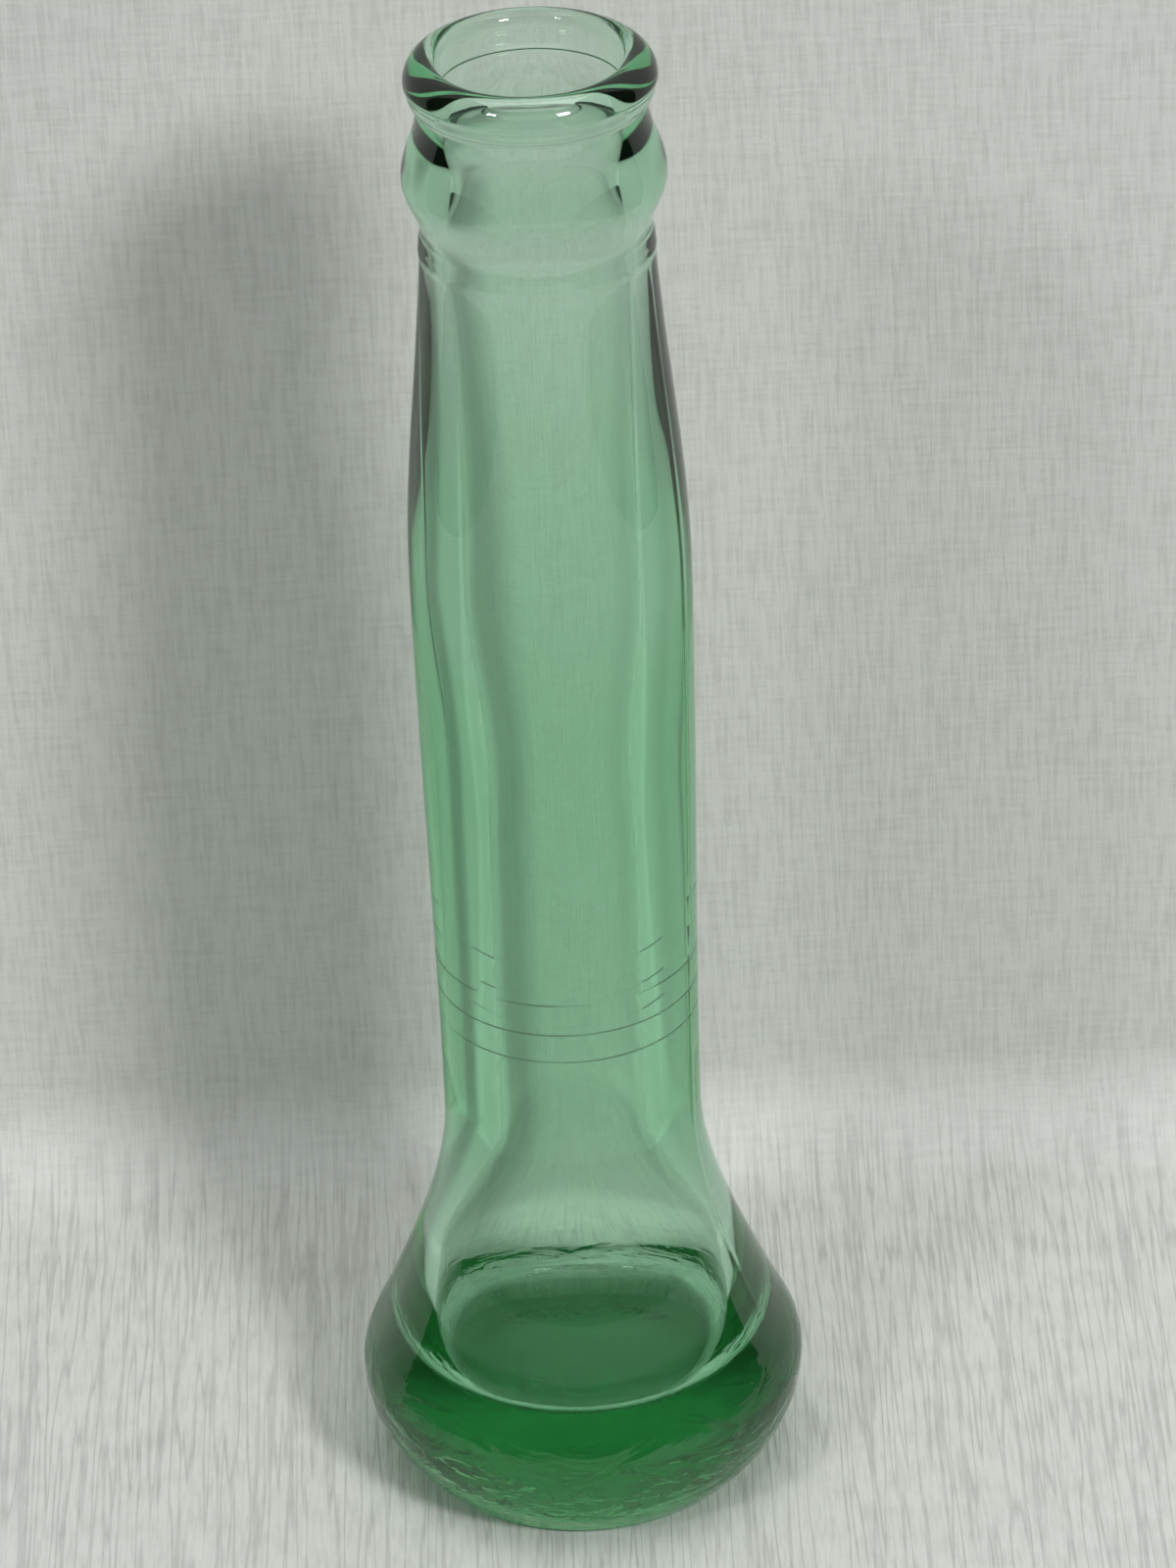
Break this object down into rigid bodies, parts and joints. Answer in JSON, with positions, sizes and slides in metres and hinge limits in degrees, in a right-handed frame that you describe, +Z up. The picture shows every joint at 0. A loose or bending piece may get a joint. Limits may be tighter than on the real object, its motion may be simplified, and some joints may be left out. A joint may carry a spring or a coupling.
{
  "type": "syrup bottle",
  "caption": "Slender green glass bottle with a rounded lip, a heavy neck ring and a flared, thick-floored foot, for pouring syrup or sauce at the table.",
  "frame": {"origin": "centre of the ring that the bottle stands on, at its lowest plane", "axes": "+Z up along the bottle's axis towards the mouth; the bottle is round, so +X and +Y are alike"},
  "size_m": [0.0498, 0.0498, 0.1734],
  "materials": {
    "green_glass": "gloss"
  },
  "bodies": {
    "root": {"glass_bottle": "green_glass"}
  },
  "joints": []
}
